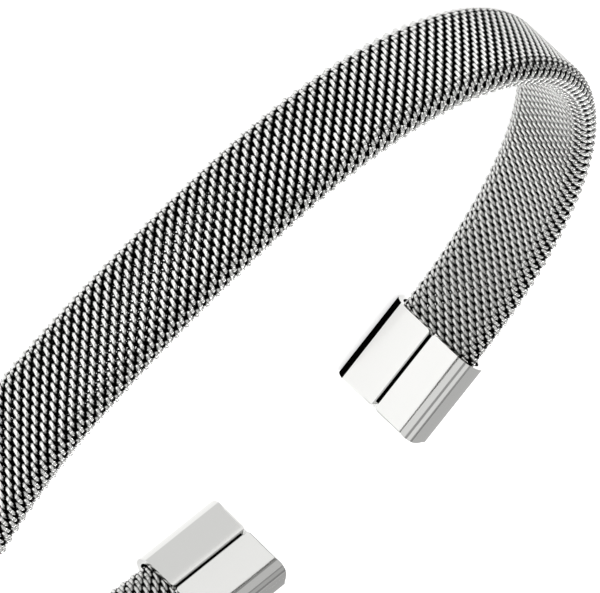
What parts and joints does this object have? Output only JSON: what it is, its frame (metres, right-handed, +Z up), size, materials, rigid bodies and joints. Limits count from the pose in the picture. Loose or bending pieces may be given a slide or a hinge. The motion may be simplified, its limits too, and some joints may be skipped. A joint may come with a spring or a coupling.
{
  "type": "kada bracelet",
  "caption": "open oval wrist cuff of thick woven steel wire band, with a folded sheet steel sleeve closing each end",
  "frame": {"origin": "middle of the footprint, on the floor that the bracelet lies on", "axes": "+Z is up, along the width of the band and the axis of the wrist; +X is across the oval, its longest extent; -Y points out through the gap between the two ends"},
  "size_m": [0.0652, 0.0568, 0.0086],
  "materials": {
    "steel_wire": "drawn steel wire, tumbled bright",
    "polished_sheet": "stainless sheet, mirror polished"
  },
  "bodies": {
    "root": {"mesh_band": "steel_wire", "cap_right": "polished_sheet", "cap_left": "polished_sheet"}
  },
  "joints": []
}
